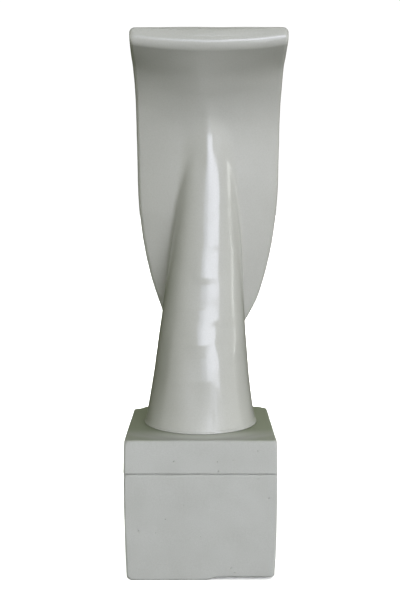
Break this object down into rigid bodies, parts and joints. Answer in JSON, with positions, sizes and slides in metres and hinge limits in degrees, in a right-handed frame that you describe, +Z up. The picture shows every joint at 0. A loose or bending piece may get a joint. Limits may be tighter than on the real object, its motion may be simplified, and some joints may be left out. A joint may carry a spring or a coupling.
{
  "type": "abstract head sculpture",
  "caption": "Abstract head: a conical neck rising into a curved shield with a forward-curled lip, standing on a square stone plinth with a slab top.",
  "frame": {"origin": "middle of the plinth's underside", "axes": "+Z up, and -Y towards the front, where the shield's lip curls forward"},
  "size_m": [0.1691, 0.1797, 0.5755],
  "materials": {
    "polished_cast_stone": "satin",
    "raw_cast_stone": "matte"
  },
  "bodies": {
    "root": {"head": "polished_cast_stone", "plinth_slab": "raw_cast_stone", "plinth_block": "raw_cast_stone"}
  },
  "joints": []
}
